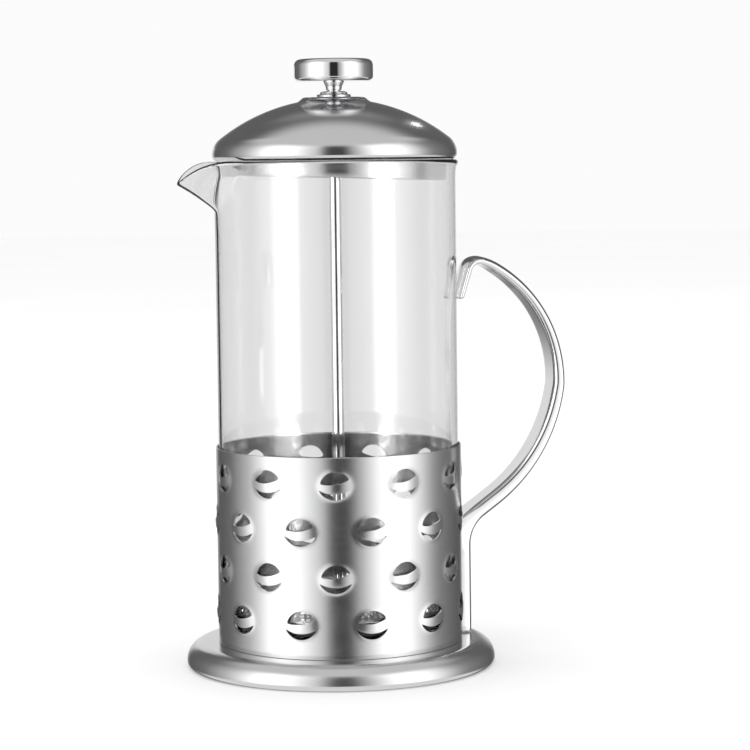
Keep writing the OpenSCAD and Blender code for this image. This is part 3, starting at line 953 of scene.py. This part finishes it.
def build_rod():
    """The rod, plain between its two threaded ends."""
    r = ROD_HIGH.x
    thread_r = r - 0.5
    shoulder = STEM_LOW.z + 0.9
    low_shoulder = COLLAR_LOW.z
    outline = [(0, ROD_LOW.z)] + threaded_outline(ROD_LOW.z, low_shoulder, thread_r)
    body = rounded([(thread_r - 0.3, low_shoulder), (r, low_shoulder, 0.2), (r, shoulder, 0.3),
                    (thread_r - 0.3, shoulder)], step=15)
    outline += [p for p in body if p[0] > thread_r]
    rows = [p for p in outline if p[1] < low_shoulder + 0.5]
    rows += [(r, low_shoulder + 2 + (shoulder - low_shoulder - 4) * i / 20) for i in range(21)]
    rows += [p for p in outline if p[1] > shoulder - 0.5]
    rows += threaded_outline(shoulder, ROD_HIGH.z, thread_r) + [(0, ROD_HIGH.z)]
    make_piece("plunger_rod", *lathe(rows, 48, closed=False), "plunger", CHROME, ["rod"])


def build_rod_collar():
    """The collar welded to the rod, with the weld's fillet above it."""
    r, low, high, collar_r = ROD_HIGH.x, COLLAR_LOW.z, COLLAR_HIGH.z, COLLAR_HIGH.x
    outline = rounded([
        (r, low), (collar_r, low, 0.25), (collar_r, high, 0.5), (4.2, high, 0.6), (r + 0.9, high + 0.9, 0.5),
        (r, high + 1.4)], closed=True, step=15)
    make_piece("clamp_collar", *lathe(outline, 96), "plunger", POLISHED, ["rod_collar"])


def build_knob():
    """The flat round knob with a faintly crowned top and the insert's hole below."""
    r, low, top = KNOB_HIGH.x, KNOB_LOW.z, KNOB_HIGH.z
    crown, flat_r = 0.5, r - 9
    hole_r, hole_depth = 3.4, 7.2
    outline = [(0, low + hole_depth), (hole_r, low + hole_depth), (hole_r, low + 0.2)]
    corners = [(hole_r + 0.2, low), (r, low, 2.0), (r, top - crown, 2.6), (flat_r, top - crown * 0.35)]
    outline += rounded(corners, step=5)
    outline += [(flat_r - flat_r * s, top - crown * 0.35 * (1 - s) ** 2) for s in (0.2, 0.4, 0.6, 0.8, 1.0)]
    make_piece("knob_disc", *lathe(outline, 160, closed=False), "knob", CHROME, ["knob"])


def build_stem():
    """The tapered neck under the knob, with a recess that clears the rod's shoulder."""
    low, high, top_r = STEM_LOW.z, STEM_HIGH.z, STEM_HIGH.x
    bore, recess_r, recess_z = 2.05, 2.05 + 0.5, low + 1.0
    outline = rounded([
        (recess_r, low), (3.0, low, 0.2), (3.15, low + 0.8, 0.3), (3.3, low + 1.6, 1.5),
        (top_r, high - 0.3, 0.2), (top_r, high), (bore, high), (bore, recess_z), (recess_r, recess_z)],
        closed=True, step=12)
    make_piece("knob_neck", *lathe(outline, 96), "knob", CHROME, ["knob_stem"])


# ---- filter ----


# Radius of the hole in the filter's plates, through which the boss runs
HUB_HOLE_R = 4.05
# Radius of the spring's coils, and of its wire
COIL_R, SPRING_WIRE = 1.55, 0.36


def build_coil_plate():
    """The upper filter plate: a disc with two rings of holes, a brim for the spring and a curled wall."""
    low, t = COIL_LOW.z, 0.8
    rim_r = COIL_HIGH.x - 2.4
    spring_mid = SPRING_HIGH.y - COIL_R
    outer = circle_loop((0, 0), rim_r, 192)
    holes = [circle_loop((0, 0), HUB_HOLE_R, 48)]
    for count, on_r, hole_r in ((12, 32, 4.0), (8, 19, 3.5)):
        for i in range(count):
            a = TAU * i / count
            holes.append(circle_loop((on_r * math.cos(a), on_r * math.sin(a)), hole_r, 36))
    disc = plate(outer, holes, low, low + t)
    mid = low + t / 2
    brim = sheet([(rim_r - 0.6, mid), (spring_mid + 0.3, mid)], t)
    wall_r = GLASS_R - GLASS_T - 3.5 - 0.3
    top = COIL_HIGH.z - 0.3
    wall = sheet(rounded([(wall_r, low + t), (wall_r, top, 0.6), (spring_mid - 1.1, top)], step=12), 0.6)
    carrier = joined(disc, lathe(brim, 192), lathe(wall, 192))
    make_piece("coil_carrier", *carrier, "filter", SPUN, ["coil_plate"])


def build_spring():
    """The coil spring, bent into a ring round the coil plate."""
    ring_r = SPRING_HIGH.y - COIL_R
    coil_r = COIL_R - SPRING_WIRE
    z = (SPRING_LOW.z + SPRING_HIGH.z) / 2
    turns = 118
    samples = turns * 14
    path = []
    for i in range(samples):
        a = TAU * i / samples
        b = a * turns
        r = ring_r + coil_r * math.cos(b)
        path.append((r * math.cos(a), r * math.sin(a), z + coil_r * math.sin(b)))
    make_piece("coiled_wire", *tube(path, SPRING_WIRE, 6, closed=True), "filter", SPRING, ["edge_spring"])


def crimped_ring(in_r, out_r, z, out_rounding, segments):
    """A flat ring of doubled sheet that holds the ends of the screen's wires."""
    top, under = z + 0.2, z - 0.2
    corners = [(in_r, top, 0.1), (out_r, top, out_rounding), (out_r, under, out_rounding), (in_r, under, 0.1)]
    return lathe(rounded(corners, closed=True, step=30), segments)


def build_screen():
    """The woven screen: wires over and under each other, and the crimped rings that hold them."""
    r = SCREEN_HIGH.y
    z = (SCREEN_LOW.z + SCREEN_HIGH.z) / 2
    pitch, wire, clear_r = 1.5, 0.11, 4.4
    lines = int((r - 1) / pitch)
    parts = []
    for direction in (0, 1):
        for line in range(-lines, lines + 1):
            across = line * pitch
            half = math.sqrt((r - 0.6) ** 2 - across ** 2)
            count = max(4, int(2 * half / (pitch / 2.5)))
            spots = np.linspace(-half, half, count)
            wave = wire * np.cos(spots * math.pi / pitch) * (1 if (line + direction) % 2 else -1)
            flat = np.full(count, across)
            path = np.stack([spots, flat, z + wave] if direction == 0 else [flat, spots, z + wave], 1)
            clear = np.hypot(path[:, 0], path[:, 1]) > clear_r
            for run in np.split(np.arange(count), np.where(~clear)[0]):
                run = run[clear[run]]
                if len(run) > 2:
                    parts.append(tube(path[run], wire, 4))
    edge = crimped_ring(r - 1.4, r - 0.2, z, 0.15, 160)
    hub = crimped_ring(HUB_HOLE_R, 5.4, z, 0.1, 64)
    make_piece("woven_screen", *joined(*parts, edge, hub), "filter", MESH_WIRE, ["filter_screen"])


def window_loop(start, end, in_r, out_r, half_spoke, corner=1.6):
    """One opening of the cross plate between two spokes, with rounded corners."""
    corners = []
    for radius, count in ((out_r, 14), (in_r, 6)):
        shift = math.asin(half_spoke / radius)
        angles = np.linspace(math.radians(start) + shift, math.radians(end) - shift, count)
        if radius == in_r:
            angles = angles[::-1]
        corners += [(radius * math.cos(a), radius * math.sin(a), corner if i in (0, count - 1) else 0)
                    for i, a in enumerate(angles)]
    out = rounded(corners, closed=True, step=15)
    spaced = [out[0]]
    for p in out[1:]:
        if math.dist(p, spaced[-1]) > 0.05:
            spaced.append(p)
    return spaced


def build_cross_plate():
    """The lower filter plate: a rim and a hub joined by spokes."""
    r, low, high = CROSS_HIGH.x, CROSS_LOW.z, CROSS_HIGH.z
    outer = circle_loop((0, 0), r, 192)
    hub_r, rim_w, half_spoke = 12, 5, 2.5
    holes = [circle_loop((0, 0), HUB_HOLE_R, 48)]
    holes += [window_loop(60 * i, 60 * i + 60, hub_r, r - rim_w, half_spoke) for i in range(6)]
    make_piece("cross_frame", *plate(outer, holes, low, high), "filter", SPUN, ["cross_plate"])


def build_boss():
    """The flanged boss that holds the plates on the rod's lower thread."""
    low, high = BOSS_LOW.z, BOSS_HIGH.z
    bore, neck_r, flange_r, flange_top = 2.04, 4.0, 6.5, low + 1.5
    outline = rounded([
        (bore, low, 0.2), (flange_r, low, 0.5), (flange_r, flange_top, 0.3), (neck_r, flange_top),
        (neck_r, high, 0.2), (bore, high, 0.2)], closed=True, step=15)
    make_piece("threaded_boss", *lathe(outline, 96), "filter", POLISHED, ["hub_boss"])


# ---- pieces ----


def paint_node(node, material):
    """Gives a CAD node that stays as it is its finished material."""
    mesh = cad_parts[node].data
    mesh.materials.clear()
    mesh.materials.append(material)


build_flange()
build_bottom_plate()
build_cushion()
build_sleeve()
build_handle()
build_beaker()
build_dome()
build_liner()
build_guide()
build_rod()
build_rod_collar()
build_knob()
build_stem()
build_coil_plate()
build_spring()
build_screen()
build_cross_plate()
build_boss()
paint_node("guide_nut", SPUN)
paint_node("guide_washer", NYLON)
paint_node("knob_insert", BRASS)


# ---- camera ----

# Metres from here on, with heights above the ground
CAMERA_AZIMUTH = math.radians(-15)
CAMERA_DISTANCE = 1.05
CAMERA_HEIGHT = 0.203
AIM_HEIGHT = 0.1161
AIM_RIGHT = 0.0150
LENS_MM, SENSOR_MM = 126.3, 36
ROLL = math.radians(-0.7)

# Directions from the object: towards the camera, and to the camera's right
BACK = Vector((math.sin(CAMERA_AZIMUTH), -math.cos(CAMERA_AZIMUTH), 0))
RIGHT = Vector((math.cos(CAMERA_AZIMUTH), math.sin(CAMERA_AZIMUTH), 0))
GROUND_Z = CAD_BOX[0].z


def add_camera():
    camera = bpy.data.objects.new("camera", bpy.data.cameras.new("camera"))
    bpy.context.scene.collection.objects.link(camera)
    camera.data.lens = LENS_MM
    camera.data.sensor_width = SENSOR_MM
    camera.location = BACK * CAMERA_DISTANCE + Vector((0, 0, GROUND_Z + CAMERA_HEIGHT))
    aim = RIGHT * AIM_RIGHT + Vector((0, 0, GROUND_Z + AIM_HEIGHT))
    turn = (aim - camera.location).to_track_quat("-Z", "Y").to_matrix().to_4x4()
    camera.rotation_euler = (turn @ Matrix.Rotation(ROLL, 4, "Z")).to_euler()
    bpy.context.scene.camera = camera


# ---- studio ----

# Brightness of the studio by direction from the object, in degrees: 0 is towards the camera and
# positive is to the camera's right
STUDIO_BANDS = [
    (-180, 0.95), (-168, 0.9), (-158, 0.1), (-140, 0.13), (-120, 0.17), (-106, 0.4), (-92, 0.62),
    (-82, 0.95), (-70, 1.5), (-56, 2.0), (-38, 1.5), (-24, 1.0), (-14, 0.75), (-9, 0.03), (11, 0.03),
    (14, 0.35), (24, 0.75), (36, 1.4), (56, 2.0), (70, 1.4), (82, 0.95), (92, 0.55), (102, 0.3),
    (114, 0.22), (140, 0.13), (158, 0.1), (168, 0.9), (180, 0.95),
]
# A colour ramp holds 0 to 1, so the bands are divided by this and multiplied again
BAND_SCALE = 2.5
# The bright middles of the two soft lights, which only the clear glass shows apart from the rest
LIGHT_CORES = [
    (-180, 0), (-66, 0), (-52, 1), (-44, 1), (-34, 0), (36, 0), (45, 1), (51, 1), (60, 0), (180, 0),
]
CORE_LEVEL = 4.0
# Brightness of the dark above and below the background, of the ground that metal reflects, of what
# is seen through the glass, of the fill on the floor, and of the background itself
DARK_LEVEL, SINK_LEVEL, GLOW_LEVEL, FILL_LEVEL, BACKGROUND_LEVEL = 0.13, 0.9, 0.78, 1.14, 0.97


def band_ramp(nodes, share, stops, scale=1.0):
    """Brightness by direction, from stops in degrees."""
    return nodes.ramp(share, [((angle + 180) / 360, (level / scale,) * 3) for angle, level in stops])


def add_studio():
    """Two broad soft lights beside the camera, a gap between them, dark sides and a pale background."""
    world = bpy.data.worlds.new("studio")
    world.use_nodes = True
    bpy.context.scene.world = world
    nodes = Nodes(world.node_tree)
    direction = nodes.add("TexCoord", "Generated")
    to_camera = nodes.dot(direction, tuple(BACK))
    to_right = nodes.dot(direction, tuple(RIGHT))
    to_top = nodes.dot(direction, (0, 0, 1))
    azimuth = nodes.math("ARCTAN2", to_right, to_camera)
    share = nodes.math("ADD", nodes.math("DIVIDE", azimuth, TAU), 0.5)
    path = nodes.add("LightPath", None)
    cores = nodes.times(band_ramp(nodes, share, LIGHT_CORES), CORE_LEVEL)
    cores = nodes.times(cores, path.outputs["Is Singular Ray"])
    bands = nodes.times(band_ramp(nodes, share, STUDIO_BANDS, BAND_SCALE), BAND_SCALE)
    bands = nodes.math("ADD", bands, cores)
    ceiling = nodes.spread(to_camera, -0.62, -0.4, 0.14, 0.7)
    rise = nodes.spread(to_top, 0.55, 0.82, 0.0, 1.0)
    rear = nodes.spread(to_camera, -0.8, -0.6, 1.0, 0.0)
    over = nodes.times(rear, nodes.spread(to_top, 0.06, 0.2, 0.0, 1.0))
    under = nodes.times(rear, nodes.spread(to_top, -0.36, -0.16, 1.0, 0.0))
    beyond = nodes.math("MAXIMUM", over, under)
    walls = nodes.mix(rise, nodes.mix(beyond, bands, DARK_LEVEL), ceiling)
    low = nodes.spread(to_top, -0.5, -0.28, 1.0, 0.0)
    sink = nodes.times(low, nodes.math("SUBTRACT", 1.0, rear))
    metal = nodes.mix(sink, walls, SINK_LEVEL)
    behind = nodes.spread(to_camera, -0.35, -0.05, 1.0, 0.0)
    through = nodes.times(path.outputs["Is Transmission Ray"], behind)
    seen = nodes.mix(through, metal, GLOW_LEVEL)
    lit = nodes.mix(path.outputs["Is Diffuse Ray"], seen, FILL_LEVEL)
    shown = nodes.mix(path.outputs["Is Camera Ray"], lit, BACKGROUND_LEVEL)
    shader = nodes.add("Background", inputs={"Color": shown, "Strength": 1.0})
    nodes.add("OutputWorld", None, {"Surface": shader})


def add_light(name, location, target, size, power, glossy):
    """A round soft light that the camera doesn't see."""
    light = bpy.data.objects.new(name, bpy.data.lights.new(name, "AREA"))
    bpy.context.scene.collection.objects.link(light)
    light.data.shape = "DISK"
    light.data.size = size
    light.data.energy = power
    light.location = location
    light.rotation_euler = (Vector(target) - Vector(location)).to_track_quat("-Z", "Y").to_euler()
    light.visible_camera = False
    light.visible_glossy = glossy
    light.visible_transmission = False


def flat_object(name, corners, material):
    """One flat face, placed by its corners."""
    mesh = bpy.data.meshes.new(name)
    mesh.from_pydata(corners, [], [list(range(len(corners)))])
    mesh.materials.append(material)
    flat = bpy.data.objects.new(name, mesh)
    bpy.context.scene.collection.objects.link(flat)
    return flat


def add_rear_card():
    """A white card behind the handle, fading out downwards, which the handle's inner face reflects."""
    half_w, low, full, high, away = 0.105, -0.06, 0.09, 0.26, 0.471
    material, nodes = new_material("rear_card", "card")
    place = nodes.add("TexCoord", "Object")
    z = nodes.add("SeparateXYZ", "Z", {0: place})
    grain = nodes.swing(nodes.noise(20.0), 0.04)
    share = nodes.math("ADD", nodes.spread(z, low, full, 0.0, 1.0), grain, clamp=True)
    glow = nodes.add("Emission", inputs={"Color": (1.0, 1.0, 1.0, 1.0), "Strength": 0.88})
    clear = nodes.add("BsdfTransparent")
    mixed = nodes.add("MixShader", inputs={0: share, 1: clear, 2: glow})
    nodes.add("OutputMaterial", None, {"Surface": mixed})
    corners = [(-half_w, away, low), (half_w, away, low), (half_w, away, high), (-half_w, away, high)]
    card = flat_object("rear_card", corners, material)
    card.visible_camera = False
    card.visible_diffuse = False
    card.visible_transmission = False
    card.visible_shadow = False


def add_floor():
    """A pale round floor that neither the metal nor the glass shows."""
    radius, count = 6.0, 96
    material, nodes = new_material("pale_floor", "floor")
    grain = nodes.noise(3.0, 4.0)
    colour = nodes.ramp(grain, [(0.3, (0.91, 0.91, 0.91)), (0.7, (0.925, 0.925, 0.925))])
    shader = nodes.add("BsdfPrincipled", inputs={
        "Base Color": colour, "Roughness": 0.6, "Specular IOR Level": 0.2})
    nodes.add("OutputMaterial", None, {"Surface": shader})
    floor = flat_object("floor", [(x, y, GROUND_Z) for x, y in circle_loop((0, 0), radius, count)], material)
    floor.visible_glossy = False
    floor.visible_transmission = False


add_camera()
add_studio()
add_floor()
add_light("overhead_fill", (0, 0, 2.2), (0, 0, 0), 3.0, 12, False)
add_light("rear_glint", -BACK * 0.95 + RIGHT * 0.35 + Vector((0, 0, 0.79)), (0, 0, 0.21), 0.02, 0.05, True)
add_rear_card()
bpy.context.scene.view_settings.view_transform = "Standard"
